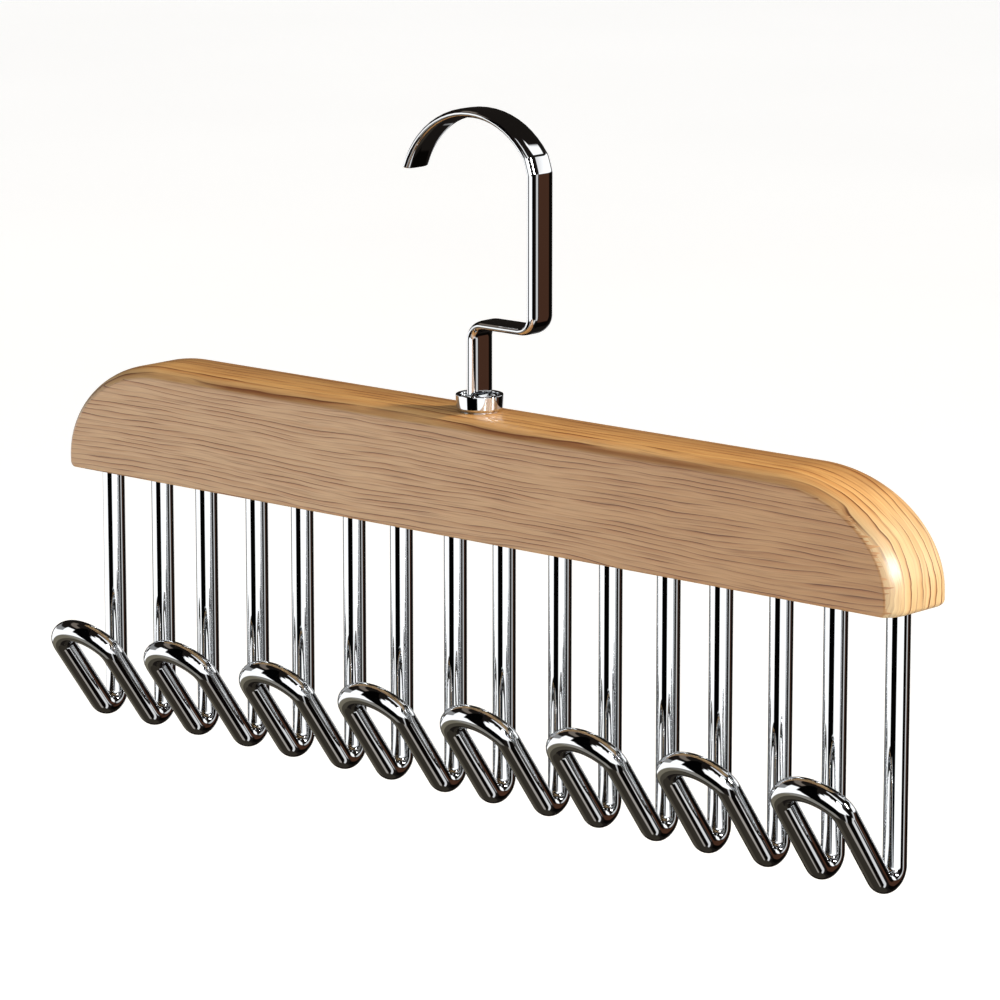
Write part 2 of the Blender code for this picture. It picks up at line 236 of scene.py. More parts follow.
def makeLacqueredAsh():
    # Ash, planed, sanded and lacquered: the growth rings run along the board as thin dark lines,
    # each with a paler side, that break off and start again; the lacquer lies over it like glass.
    material, tree, shader = newMaterial("lacqueredAsh")
    place = addNode(tree, "ShaderNodeTexCoord").outputs["Object"]
    axes = addNode(tree, "ShaderNodeSeparateXYZ", None, {"Vector": place})
    offMiddle = addNode(tree, "ShaderNodeMath", {"operation": "ABSOLUTE"}, {0: axes.outputs["Y"]})
    depth = addNode(tree, "ShaderNodeMath", {"operation": "SUBTRACT", 0: bar["thickness"] / 2},
                    {1: offMiddle.outputs["Value"]})
    # the two broad faces are flat-sawn and browner; their lines run out past the end creases as
    # short ticks, about 1 mm apart, but not past the long crease at the top
    tickScale = addNode(tree, "ShaderNodeMapping", {"Scale": scaleFor(ash["tickSize"])},
                        {"Vector": place})
    tickNoise = addNode(tree, "ShaderNodeTexNoise", {"Scale": 1.0, "Detail": 1.0},
                        {"Vector": tickScale.outputs["Vector"]})
    tick = addNode(tree, "ShaderNodeMapRange",
                   {"From Min": 0.48, "From Max": 0.72, "To Max": ash["tickLength"]},
                   {"Value": tickNoise.outputs["Fac"]})
    belowTop = addNode(tree, "ShaderNodeMapRange", {"From Min": bar["top"] - ash["tickFade"][0],
                                                    "From Max": bar["top"] - ash["tickFade"][1]},
                       {"Value": axes.outputs["Z"]})
    tickReach = addNode(tree, "ShaderNodeMath", {"operation": "MULTIPLY"},
                        {0: tick.outputs["Result"], 1: belowTop.outputs["Result"]})
    pastTick = addNode(tree, "ShaderNodeMath", {"operation": "SUBTRACT"},
                       {0: depth.outputs["Value"], 1: tickReach.outputs["Value"]})
    onFace = addNode(tree, "ShaderNodeMapRange", {"From Min": ash["creaseFade"][0],
                                                  "From Max": ash["creaseFade"][1]},
                     {"Value": pastTick.outputs["Value"]})
    # the lines lie one above the other on the faces and side by side on the rim, which is the top
    # and the ends, and wander as they run
    wanderScale = addNode(tree, "ShaderNodeMapping", {"Scale": scaleFor(ash["wanderSize"])},
                          {"Vector": place})
    wander = addNode(tree, "ShaderNodeTexNoise", {"Scale": 1.0, "Detail": 3.0, "Roughness": 0.5},
                     {"Vector": wanderScale.outputs["Vector"]})
    mostlyFace = addNode(tree, "ShaderNodeMath", {"operation": "GREATER_THAN", 1: 0.5},
                         {0: onFace.outputs["Result"]})
    across = addNode(tree, "ShaderNodeMix", {"data_type": "FLOAT"},
                     {0: mostlyFace.outputs["Value"], 2: axes.outputs["Y"], 3: axes.outputs["Z"]})
    waved = addNode(tree, "ShaderNodeMath", {"operation": "MULTIPLY_ADD", 1: ash["grainWander"]},
                    {0: wander.outputs["Fac"], 2: across.outputs[0]})
    grain = addNode(tree, "ShaderNodeCombineXYZ", None,
                    {"X": axes.outputs["X"], "Y": waved.outputs["Value"], "Z": axes.outputs["Z"]})
    ringsPerLength = addNode(tree, "ShaderNodeMapRange",
                             {"To Min": ash["rimShare"] / ash["ringWidth"],
                              "To Max": 1 / ash["ringWidth"]},
                             {"Value": mostlyFace.outputs["Value"]})
    counted = addNode(tree, "ShaderNodeMath", {"operation": "MULTIPLY"},
                      {0: waved.outputs["Value"], 1: ringsPerLength.outputs["Result"]})
    ring = addNode(tree, "ShaderNodeMath", {"operation": "FRACT"}, {0: counted.outputs["Value"]})
    ringShade = addNode(tree, "ShaderNodeValToRGB",
                        {"stops": [(0.0, "#FFFFFF"), (0.16, "#F2EBE4"), (0.66, "#EBDDCF"),
                                   (0.82, "#C9AA90"), (0.9, "#6E4728"), (0.96, "#845E3C"),
                                   (1.0, "#FFFFFF")]},
                        {"Fac": ring.outputs["Value"]})
    # each line fades in and out every 30 mm or so
    breakScale = addNode(tree, "ShaderNodeMapping", {"Scale": scaleFor(ash["breakSize"])},
                         {"Vector": grain.outputs["Vector"]})
    breaks = addNode(tree, "ShaderNodeTexNoise", {"Scale": 1.0, "Detail": 2.0},
                     {"Vector": breakScale.outputs["Vector"]})
    ringStrength = addNode(tree, "ShaderNodeMapRange",
                           {"From Min": 0.36, "From Max": 0.6, "To Min": 0.16},
                           {"Value": breaks.outputs["Fac"]})
    # pores: slits 28 mm long, drawn 0.3 mm wide where the real ones are 0.2, so that they show
    slits = addNode(tree, "ShaderNodeMapping", {"Scale": scaleFor(ash["poreSize"])},
                    {"Vector": grain.outputs["Vector"]})
    poreNoise = addNode(tree, "ShaderNodeTexNoise", {"Scale": 1.0, "Detail": 2.0, "Roughness": 0.5},
                        {"Vector": slits.outputs["Vector"]})
    pores = addNode(tree, "ShaderNodeMapRange", {"From Min": 0.58, "From Max": 0.7, "To Max": 0.4},
                    {"Value": poreNoise.outputs["Fac"]})
    fibreScale = addNode(tree, "ShaderNodeMapping", {"Scale": scaleFor(ash["fibreSize"])},
                         {"Vector": grain.outputs["Vector"]})
    fibres = addNode(tree, "ShaderNodeTexNoise", {"Scale": 1.0, "Detail": 1.0},
                     {"Vector": fibreScale.outputs["Vector"]})
    # the board is redder towards one end; its ends are paler, partly where they are cut across the
    # fibres and partly as painted light from the end lamp
    drift = addNode(tree, "ShaderNodeMapRange", {"From Min": ash["redFade"][0],
                                                 "From Max": ash["redFade"][1]},
                    {"Value": axes.outputs["X"]})
    face = addNode(tree, "ShaderNodeMix", {"data_type": "RGBA", 6: linearColour(ash["faceWood"]),
                                           7: linearColour(ash["redFaceWood"])},
                   {0: drift.outputs["Result"]})
    # painted light: the rim is painted paler below the top, partly standing in for the end lamp's
    # light
    litEndBlend = addNode(tree, "ShaderNodeMapRange", {"From Min": bar["top"] - ash["litEndFade"][0],
                                                  "From Max": bar["top"] - ash["litEndFade"][1]},
                     {"Value": axes.outputs["Z"]})
    rim = addNode(tree, "ShaderNodeMix", {"data_type": "RGBA", 6: linearColour(ash["topWood"]),
                                          7: linearColour(ash["litEndWood"])},
                  {0: litEndBlend.outputs["Result"]})
    base = addNode(tree, "ShaderNodeMix", {"data_type": "RGBA"},
                   {0: onFace.outputs["Result"], 6: rim.outputs[2], 7: face.outputs[2]})
    # in the narrow strip where the face goes over into the rim no line follows the crease
    turning = addNode(tree, "ShaderNodeMath", {"operation": "MULTIPLY_ADD", 1: 2.0, 2: -1.0},
                      {0: onFace.outputs["Result"]})
    settled = addNode(tree, "ShaderNodeMath", {"operation": "ABSOLUTE"},
                      {0: turning.outputs["Value"]})
    ringShare = addNode(tree, "ShaderNodeMath", {"operation": "MULTIPLY"},
                        {0: ringStrength.outputs["Result"], 1: settled.outputs["Value"]})
    ringed = addNode(tree, "ShaderNodeMix", {"data_type": "RGBA", "blend_type": "MULTIPLY"},
                     {0: ringShare.outputs["Value"], 6: base.outputs[2],
                      7: ringShade.outputs["Color"]})
    pored = addNode(tree, "ShaderNodeMix", {"data_type": "RGBA", 7: linearColour(ash["poreWood"])},
                    {0: pores.outputs["Result"], 6: ringed.outputs[2]})
    # a dark band runs just above the long creases, broken every 60 mm or so
    fromStreak = addNode(tree, "ShaderNodeMath", {"operation": "SUBTRACT", 1: ash["streakDepth"]},
                         {0: depth.outputs["Value"]})
    streakOff = addNode(tree, "ShaderNodeMath", {"operation": "ABSOLUTE"},
                        {0: fromStreak.outputs["Value"]})
    streak = addNode(tree, "ShaderNodeMapRange", {"From Min": ash["streakWidth"],
                                                  "From Max": ash["streakCore"], "To Max": 0.75},
                     {"Value": streakOff.outputs["Value"]})
    alongScale = addNode(tree, "ShaderNodeMapping", {"Scale": scaleFor(ash["streakSize"])},
                         {"Vector": place})
    alongNoise = addNode(tree, "ShaderNodeTexNoise", {"Scale": 1.0, "Detail": 1.0},
                         {"Vector": alongScale.outputs["Vector"]})
    along = addNode(tree, "ShaderNodeMapRange", {"From Min": 0.35, "From Max": 0.6, "To Min": 0.2},
                    {"Value": alongNoise.outputs["Fac"]})
    nearTop = addNode(tree, "ShaderNodeMapRange", {"From Min": bar["top"] - ash["topFade"][0],
                                                   "From Max": bar["top"] - ash["topFade"][1]},
                      {"Value": axes.outputs["Z"]})
    streakHere = addNode(tree, "ShaderNodeMath", {"operation": "MULTIPLY"},
                         {0: streak.outputs["Result"], 1: along.outputs["Result"]})
    streakTop = addNode(tree, "ShaderNodeMath", {"operation": "MULTIPLY"},
                        {0: streakHere.outputs["Value"], 1: nearTop.outputs["Result"]})
    streaked = addNode(tree, "ShaderNodeMix",
                       {"data_type": "RGBA", 7: linearColour(ash["streakWood"])},
                       {0: streakTop.outputs["Value"], 6: pored.outputs[2]})
    # painted shade: the rear half of the top is darkened, standing in for the shade and the dark
    # lacquer reflection there
    toRear = addNode(tree, "ShaderNodeMapRange", {"From Min": ash["rearShadeFade"][0],
                                                  "From Max": ash["rearShadeFade"][1], "To Max": 0.5},
                     {"Value": axes.outputs["Y"]})
    rear = addNode(tree, "ShaderNodeMath", {"operation": "MULTIPLY"},
                   {0: toRear.outputs["Result"], 1: nearTop.outputs["Result"]})
    rearShaded = addNode(tree, "ShaderNodeMix",
                        {"data_type": "RGBA", 7: linearColour(ash["rearShadeColour"])},
                        {0: rear.outputs["Value"], 6: streaked.outputs[2]})
    fibreShade = addNode(tree, "ShaderNodeMapRange", {"To Min": 0.82, "To Max": 1.14},
                         {"Value": fibres.outputs["Fac"]})
    shaded = addNode(tree, "ShaderNodeMix",
                     {"data_type": "RGBA", "blend_type": "MULTIPLY", 0: 1.0},
                     {6: rearShaded.outputs[2], 7: fibreShade.outputs["Result"]})
    tree.links.new(shaded.outputs[2], shader.inputs["Base Color"])
    # the lines are a little sunk, and show through the lacquer
    relief = addNode(tree, "ShaderNodeBump", {"Strength": 0.3, "Distance": ash["lineRelief"]},
                     {"Height": ringShade.outputs["Color"]})
    tree.links.new(relief.outputs["Normal"], shader.inputs["Normal"])
    shader.inputs["Roughness"].default_value = ash["roughness"]
    shader.inputs["Specular IOR Level"].default_value = 0.3  # the lacquer fills the open wood
    shader.inputs["Coat Weight"].default_value = ash["coat"]
    shader.inputs["Coat Roughness"].default_value = ash["coatRoughness"]
    return material


def endOutline(dropX, dropZ, lift):
    # half of the bar's outline above the underside, (x, z), from the lower corner up to the top
    endX = bar["length"] / 2 - dropX
    points = []
    for i in range(bar["cornerSteps"] + 1):
        a = -math.pi / 2 + math.pi / 2 * i / bar["cornerSteps"]
        points.append((endX - bar["corner"] + bar["corner"] * math.cos(a),
                       lift + bar["corner"] + bar["corner"] * math.sin(a)))
    curveX = bar["length"] / 2 - bar["endCurve"]
    for i in range(bar["curveSteps"] + 1):
        a = math.pi / 2 * i / bar["curveSteps"]
        rise = (bar["height"] - bar["endUpright"] - dropZ) * math.sin(a)
        points.append((curveX + (bar["endCurve"] - dropX) * math.cos(a), bar["endUpright"] + rise))
    return points


def edgeStations():
    # (depth in from the face, how far the rounding has fallen there, lift of the lower edge)
    def fallAt(depth):
        if depth >= bar["edgeReach"]:
            return 0.0
        a = math.asin((1 - depth / bar["edgeReach"]) * math.sin(bar["edgeAngle"]))
        return (1 - math.cos(a)) / (1 - math.cos(bar["edgeAngle"]))

    def liftAt(depth):
        r = bar["underEdge"]
        return r - math.sqrt(r * r - (r - depth) ** 2) if depth < r else 0.0

    soft = bar["creaseSoft"]
    facePoint = Vector((0.0, 1 + soft / bar["edgeDrop"]))  # the softened crease leaves the face
    topPoint = Vector((soft, fallAt(soft)))  # and meets the rounding
    stations = []
    for i in range(bar["creaseSteps"] + 1):
        t = i / bar["creaseSteps"]
        spot = facePoint * (1 - t) ** 2 + Vector((0.0, 1.0)) * 2 * t * (1 - t) + topPoint * t * t
        stations.append((spot.x, spot.y, liftAt(spot.x)))
    turns = [bar["edgeAngle"] * i / bar["edgeSteps"] for i in range(bar["edgeSteps"] + 1)]
    depths = [bar["edgeReach"] * (1 - math.sin(a) / math.sin(bar["edgeAngle"])) for a in turns]
    for depth in sorted(depths):
        if depth > soft * 1.3:  # nearer ones would crowd the softened crease
            stations.append((depth, fallAt(depth), liftAt(depth)))
    return stations


def makeBar(material):
    rings = []
    near = [(-bar["thickness"] / 2 + d, fall, lift) for d, fall, lift in edgeStations()]
    far = [(-y, fall, lift) for y, fall, lift in reversed(near)]
    for y, fall, lift in near + far:
        right = endOutline(bar["endEdgeDrop"] * fall, bar["edgeDrop"] * fall, lift)
        outline = right + [(-x, z) for x, z in reversed(right)]
        rings.append([(x, y, bar["underside"] + z) for x, z in outline])
    mesher = bmesh.new()
    addSkin(mesher, rings)
    bmesh.ops.remove_doubles(mesher, verts=mesher.verts, dist=1e-6)
    piece = makePiece("wooden_bar", mesher, material, "hanger", "bar",
                      bar["smoothAngle"])
    tool = bmesh.new()
    past = 1 * mm  # how far the tool reaches out of the wood
    edge = bar["holeEdge"]
    low, top = bar["underside"], bar["top"]
    for x in legPlaces:  # blind holes with a slightly broken edge
        hole = [(bar["legHole"] + edge + past, low - past), (bar["legHole"], low + edge),
                (bar["legHole"], low + bar["legSeat"])]
        addSkin(tool, turnedRings(hole, 32, x))
    foot = collar["footRadius"] + bar["footClearance"]
    spigot = collar["spigotRadius"] + bar["spigotClearance"]
    shank = topHook["shankRadius"] + bar["shankClearance"]
    recess = hardware["recessRadius"]
    bore = [(foot + past, top + past), (foot, top), (foot, top - bar["footSeat"]),
            (spigot, top - bar["footSeat"]), (spigot, top - bar["spigotHole"]),
            (shank, top - bar["spigotHole"]), (shank, hardware["recessTop"]),
            (recess, hardware["recessTop"]), (recess, low + edge),
            (recess + edge + past, low - past)]
    addSkin(tool, turnedRings(bore, 64))
    cutAway(piece, tool)
    piece.data.set_sharp_from_angle(angle=math.radians(bar["smoothAngle"]))
    evenFlats(piece)


# Polished chrome: swivel hook, collar and wire hooks

chrome = {
    "colour": "#D2D4D6", "roughness": 0.02, "haze": 0.03, "hazeSize": 12 * mm,
    "unevenSize": 4 * mm, "unevenDepth": 0.03 * mm,
}


def makePolishedChrome():
    # Bright chromium over polished nickel on steel: a mirror, cool and dark where the room is dark,
    # with a trace of haze from handling.
    material, tree, shader = newMaterial("polishedChrome")
    place = addNode(tree, "ShaderNodeTexCoord").outputs["Object"]
    smears = addNode(tree, "ShaderNodeTexNoise",
                     {"Scale": 1 / chrome["hazeSize"], "Detail": 4.0, "Roughness": 0.6},
                     {"Vector": place})
    haze = addNode(tree, "ShaderNodeMapRange", {"From Min": 0.4, "From Max": 0.75,
                                                "To Min": chrome["roughness"],
                                                "To Max": chrome["roughness"] + chrome["haze"]},
                   {"Value": smears.outputs["Fac"]})
    tree.links.new(haze.outputs["Result"], shader.inputs["Roughness"])
    # the last polishing leaves the surface very slightly uneven
    uneven = addNode(tree, "ShaderNodeTexNoise",
                     {"Scale": 1 / chrome["unevenSize"], "Detail": 1.0}, {"Vector": place})
    relief = addNode(tree, "ShaderNodeBump", {"Strength": 0.02, "Distance": chrome["unevenDepth"]},
                     {"Height": uneven.outputs["Fac"]})
    tree.links.new(relief.outputs["Normal"], shader.inputs["Normal"])
    shader.inputs["Base Color"].default_value = linearColour(chrome["colour"])
    shader.inputs["Metallic"].default_value = 1.0
    return material


wireHook = {
    "radius": 3.7 * mm, "sides": 36,
    "legDrop": 78.5 * mm, "legSeat": 14.0 * mm,
    "lowBend": 4.3 * mm, "lean": math.radians(36.3), "straight": 27.6 * mm,
    "shoulder": 6.5 * mm, "shoulderTurn": math.radians(42),
}


def makeWireHook(index, material):
    down = ("go", wireHook["legSeat"] + wireHook["legDrop"])
    lowTurn = math.pi - wireHook["lean"]
    loopNormal = Vector((0, math.cos(wireHook["lean"]), math.sin(wireHook["lean"])))
    turn = wireHook["shoulderTurn"]
    crownHalf = bar["legSpacing"] / 2 - wireHook["shoulder"] * (1 - math.cos(turn))
    shoulder = ("turn", wireHook["shoulder"], turn, loopNormal)
    crown = ("turn", crownHalf / math.cos(turn), math.pi - 2 * turn, loopNormal)
    side = ("go", wireHook["straight"])
    runs = [down, ("turn", wireHook["lowBend"], lowTurn, -xAxis), side, shoulder, crown,
            shoulder, side, ("turn", wireHook["lowBend"], lowTurn, xAxis), down]
    start = (hookCentres[index] - bar["legSpacing"] / 2, 0, bar["underside"] + wireHook["legSeat"])
    rings = []
    for position, heading, sideways in followPath(start, -zAxis, xAxis, runs):
        across = heading.cross(sideways)
        angles = [2 * math.pi * i / wireHook["sides"] for i in range(wireHook["sides"])]
        spokes = [sideways * math.cos(a) + across * math.sin(a) for a in angles]
        rings.append([position + spoke * wireHook["radius"] for spoke in spokes])
    mesher = bmesh.new()
    addSkin(mesher, rings)
    makePiece(f"bent_wire_{index + 1}", mesher, material, "hanger", f"wire_hook_{index + 1}")


topHook = {
    "thickness": 3.0 * mm, "width": 11.2 * mm, "edgeReach": 3.6 * mm,
    "railRadius": 27.2 * mm, "tipAngle": math.radians(160), "postInset": 3.7 * mm,
    # the curve goes over into the post by two soft creases with a nearly flat stretch between them
    "bendAngle": math.radians(36), "creaseTurn": math.radians(16), "creaseRadius": 1.8 * mm,
    "elbow": 4.8 * mm, "armDrop": 64.8 * mm,
    "bandEnd": -87.7 * mm, "taper": 1.2 * mm, "shankRadius": 2.5 * mm, "shankEnd": -129.8 * mm,
    "tipSoft": 0.4 * mm, "tipSteps": 3, "shankChamfer": 0.4 * mm, "quarterPoints": 11,
}


def bandRing(station, halfThick, halfWide, reach):  # flat sides and half-oval edges
    points = topHook["quarterPoints"]
    position, heading, side = station
    across = heading.cross(side)
    ring = []
    for quarter, sign in enumerate((1, -1, -1, 1)):
        for i in range(points):
            a = math.pi / 2 * (quarter + i / (points - 1))
            ring.append(position + side * (sign * (halfWide - reach) + reach * math.cos(a))
                        + across * halfThick * math.sin(a))
    return ring


def makeTopHook(material):
    half = topHook["thickness"] / 2
    wide = topHook["width"] / 2
    midRadius = topHook["railRadius"] + half
    postX = midRadius - topHook["postInset"]
    crease, creaseTurn = topHook["creaseRadius"], topHook["creaseTurn"]
    bend = topHook["bendAngle"]
    afterCrease = bend - creaseTurn
    creaseReach = crease * (math.cos(afterCrease) - math.cos(bend) + 1 - math.cos(creaseTurn))
    flatRadius = ((postX - midRadius * math.cos(bend) - creaseReach)
                  / (math.cos(creaseTurn) - math.cos(afterCrease)))
    postTop = (midRadius * math.sin(bend) - crease * (math.sin(bend) - math.sin(afterCrease))
               - flatRadius * (math.sin(afterCrease) - math.sin(creaseTurn))
               - crease * math.sin(creaseTurn))
    centre = Vector((0, 0, -topHook["railRadius"]))
    post = -topHook["railRadius"] + postTop + topHook["armDrop"] - topHook["elbow"]
    runs = [
        ("turn", midRadius, topHook["tipAngle"] - bend, yAxis),
        ("turn", crease, creaseTurn, yAxis),
        ("turn", flatRadius, afterCrease - creaseTurn, yAxis),
        ("turn", crease, creaseTurn, yAxis),
        ("go", post),
        ("turn", topHook["elbow"], math.pi / 2, yAxis),
        ("go", postX - 2 * topHook["elbow"]),
        ("turn", topHook["elbow"], math.pi / 2, -yAxis),
        ("go", -topHook["armDrop"] - topHook["elbow"] - topHook["bandEnd"]),
    ]
    tipAngle = topHook["tipAngle"]
    tip = centre + Vector((math.cos(tipAngle), 0, math.sin(tipAngle))) * midRadius
    heading = Vector((math.sin(tipAngle), 0, -math.cos(tipAngle)))
    stations = followPath(tip, heading, yAxis, runs)
    rings = []
    soft = topHook["tipSoft"]  # the cut end of the band is broken by hand
    for k in range(topHook["tipSteps"] + 1):
        a = math.pi / 2 * k / topHook["tipSteps"]
        inset = soft * (1 - math.sin(a))
        spot = (tip - heading * soft * math.cos(a), heading, yAxis)
        rings.append(bandRing(spot, half - inset, wide - inset, topHook["edgeReach"] - inset))
    rings += [bandRing(s, half, wide, topHook["edgeReach"]) for s in stations[1:]]
    shank, chamfer = topHook["shankRadius"], topHook["shankChamfer"]
    for radius, z in ((shank, topHook["bandEnd"] - topHook["taper"]),
                      (shank, topHook["shankEnd"] + chamfer),
                      (shank - chamfer, topHook["shankEnd"])):
        rings.append(bandRing((Vector((0, 0, z)), -zAxis, yAxis), radius, radius, radius))
    mesher = bmesh.new()
    addSkin(mesher, rings)
    bmesh.ops.remove_doubles(mesher, verts=mesher.verts, dist=1e-6)
    piece = makePiece("flat_top_hook", mesher, material, "hook", "swivel_hook")
    evenFlats(piece)


collar = {
    "height": 5.6 * mm, "rimRadius": 7.6 * mm, "cupRadius": 6.2 * mm, "cupDepth": 1.8 * mm,
    "wallTaper": 0.3 * mm, "footGap": 0.3 * mm, "footRounding": 1.25 * mm, "footRadius": 6.0 * mm,
    "sink": 0.5 * mm, "spigotRadius": 4.2 * mm, "spigotLength": 12.0 * mm, "boreRadius": 2.9 * mm,
    "rimRounding": 0.35 * mm, "boreRounding": 0.2 * mm, "cupRounding": 0.5 * mm,
}


def makeCollar(material):
    top = bar["top"] + collar["height"]
    cupFloor = top - collar["cupDepth"]
    wallFoot = bar["top"] + collar["footGap"]
    seat = bar["top"] - collar["sink"]
    profile = roundedProfile([
        (collar["cupRadius"], top, collar["rimRounding"]),
        (collar["rimRadius"], top, collar["rimRounding"]),
        (collar["rimRadius"] - collar["wallTaper"], wallFoot, collar["footRounding"]),
        (collar["footRadius"], wallFoot, 0),
        (collar["footRadius"], seat, 0),
        (collar["spigotRadius"], seat, 0),
        (collar["spigotRadius"], seat - collar["spigotLength"], 0),
        (collar["boreRadius"], seat - collar["spigotLength"], 0),
        (collar["boreRadius"], cupFloor, collar["boreRounding"]),
        (collar["cupRadius"], cupFloor, collar["cupRounding"]),
    ], steps=8)
    mesher = bmesh.new()
    addSkin(mesher, turnedRings(profile, 96), closed=True)
    piece = makePiece("turned_collar", mesher, material, "hanger", "collar", 40)
    evenFlats(piece)


# Washer and lock nut in the recess under the bar

hardware = {
    "recessRadius": 5.02 * mm, "recessTop": -122.5 * mm,
    "washerTop": -122.8 * mm, "washerThick": 1.0 * mm, "washerRadius": 4.5 * mm,
    "nutTop": -124.1 * mm, "nutHeight": 3.6 * mm, "acrossFlats": 8.0 * mm,
    "lockRadius": 3.7 * mm, "lockHeight": 1.4 * mm, "boreRadius": 2.8 * mm,
    "outerRounding": 0.25 * mm, "innerRounding": 0.1 * mm,
    "colour": "#B9BBB8", "darkColour": "#A2A4A4", "roughness": 0.3, "blotchSize": 1.5 * mm,
}


def makeZincPlatedSteel():
    # Bright zinc plate on pressed steel: pale grey, softly brushed looking, a little blotchy.
    material, tree, shader = newMaterial("zincPlatedSteel")
    place = addNode(tree, "ShaderNodeTexCoord").outputs["Object"]
    blotch = addNode(tree, "ShaderNodeTexNoise",
                     {"Scale": 1 / hardware["blotchSize"], "Detail": 4.0}, {"Vector": place})
    tone = addNode(tree, "ShaderNodeValToRGB",
                   {"stops": [(0.3, hardware["darkColour"]), (0.7, hardware["colour"])]},
                   {"Fac": blotch.outputs["Fac"]})
    tree.links.new(tone.outputs["Color"], shader.inputs["Base Color"])
    rough = addNode(tree, "ShaderNodeMapRange", {"To Min": hardware["roughness"] - 0.06,
                                                 "To Max": hardware["roughness"] + 0.14},
                    {"Value": blotch.outputs["Fac"]})
    tree.links.new(rough.outputs["Result"], shader.inputs["Roughness"])
    shader.inputs["Metallic"].default_value = 1.0
    return material


def makeWasher(material):
    top = hardware["washerTop"]
    low = top - hardware["washerThick"]
    fine = hardware["innerRounding"]
    profile = roundedProfile([(hardware["boreRadius"], top, fine),
                              (hardware["washerRadius"], top, hardware["outerRounding"]),
                              (hardware["washerRadius"], low, fine),
                              (hardware["boreRadius"], low, fine)], steps=3)
    mesher = bmesh.new()
    addSkin(mesher, turnedRings(profile, 64), closed=True)
    makePiece("plain_washer", mesher, material, "hook", "washer", 40)


def makeLockNut(material):
    # rings round the axis: where a ring is wider than the flats, the hexagon holds it in
    sides = 72
    flat = hardware["acrossFlats"] / 2
    corner = flat / math.cos(math.pi / 6)
    top = hardware["nutTop"]
    shoulder = top - hardware["nutHeight"]
    low = shoulder - hardware["lockHeight"]
    bore = hardware["boreRadius"]
    face = flat * 0.97  # the flat end inside the chamfer
    lock = hardware["lockRadius"]
    profile = [
        (bore + 0.35 * mm, top), (face, top), (corner, top - 0.45 * mm),
        (corner, shoulder + 0.4 * mm), (face, shoulder), (lock, shoulder),
        (lock, low + 0.6 * mm), (lock - 0.15 * mm, low + 0.25 * mm), (lock - 0.5 * mm, low),
        (bore + 0.25 * mm, low), (bore, low + 0.25 * mm), (bore, top - 0.35 * mm),
    ]
    rings = []
    for radius, z in profile:
        ring = []
        for i in range(sides):
            a = 2 * math.pi * i / sides
            around = (a + math.pi / 6) % (math.pi / 3) - math.pi / 6
            r = min(radius, flat / math.cos(around)) if radius > flat else radius
            ring.append((r * math.cos(a), r * math.sin(a), z))
        rings.append(ring)
    mesher = bmesh.new()
    addSkin(mesher, rings, closed=True)
    makePiece("lock_nut_steel", mesher, material, "hook", "lock_nut", 35)


makeBar(makeLacqueredAsh())
print("bar made")
chromePlate = makePolishedChrome()
for index in range(bar["hookCount"]):
    makeWireHook(index, chromePlate)
print("wire hooks made")
makeTopHook(chromePlate)
makeCollar(chromePlate)
print("top hook and collar made")
zinc = makeZincPlatedSteel()
makeWasher(zinc)
makeLockNut(zinc)
print("washer and nut made")

# Studio: pale floor well below the hanging bar, soft light, and panels seen only as reflections

studio = {
    "floorDrop": -0.62, "floorRadius": 25.0, "floorColour": "#F7F6F4", "floorShade": "#F4F3F1",
    "mottleSize": 1 / 1.5, "floorGlow": 0.33, "backdrop": "#FFFFFF",
    # the camera looks at the middle of the bar's underside, slid right and up by a little
    "azimuth": 41.5, "elevation": 11.7, "distance": 1.59212, "lens": 181.08, "sensor": 36.0,
    "slideRight": 6.414 * mm, "slideUp": 9.570 * mm,
    # strength of the plain light and of the mirrored room, softness of the panels' edges, room
    "fill": 0.72, "mirrored": 1.6, "edgeSoftness": 3.0, "room": "#171412",
    # lamps round the aim: name, bearing and height in degrees, size, power in watts, colour,
    # whether they light the pieces, whether they show in reflections
    "lampAim": (0, 0, -0.11), "lampDistance": 1.6,
    "lamps": [
        ("endLight", 48, 23, (1.0, 0.6), 8, "#FFF2DC", True, False),
        ("endGlint", 48, 23, (1.3, 0.52), 62, "#FFFFFF", False, True),
        ("shadowLight", 77, 33, (0.1, 0.1), 35, "#FFE9C4", True, False),
    ],
    # panels that the metal mirrors, later ones before earlier ones, all in degrees: bearing right
    # of the azimuth above (from, to), height above the horizon (from, to), how far the panel
    # leans over per degree of height, colour
    "panels": [
        (-182, 182, -92, -58, 0.0, "#2E2A24"),
        (-152, -100, -60, -42, 0.0, "#403C34"),
        (-152, -90, -43, -23, 0.0, "#6A6558"),
        (-92, -46, -62, -26, -0.8, "#7E7B75"),
        (6, 38, -73, -58, 0.0, "#96908A"),
        (-150, -78, 2, 17, 0.0, "#808080"),
        (-150, -80, 42, 56, 0.0, "#6B625A"),
        (-149, -66, -24, 2, -0.3, "#FFFFFF"),
        (-104, -78, 2, 27, 0.1, "#FFFFFF"),
        (-62, -14, -46, 1, -0.45, "#020202"),
        (-77, -34, 1, 78, 0.0, "#020202"),
        (-18, 45, -24, 4, -1.0, "#FFFFFF"),
        (-33, 30, 3, 27, 0.0, "#FFFFFF"),
        (-29, 12, 26, 36, 0.0, "#FFFFFF"),
        (-13, 5, 36, 47, 0.0, "#FFFFFF"),
        (18, 28, -58, -26, 0.0, "#B4B4B4"),
        (31, 64, -62, -16, 0.0, "#060403"),
        (50, 68, -20, 12, 0.0, "#060403"),
        (36, 56, 34, 74, 0.0, "#E4E4E4"),
        (64, 77, -60, -20, 0.1, "#D0D0D0"),
        (78, 90, -22, 5, 0.0, "#C4C4C4"),
        (90, 126, -48, -2, 0.0, "#060504"),
        (93, 106, -28, 4, 0.0, "#40291E"),
        (97, 137, 4, 21, 0.4, "#FFFFFF"),
        (112, 124, 36, 48, 0.0, "#FFFFFF"),
        (154, 171, -30, 4, 0.0, "#B0B0B0"),
    ],
}


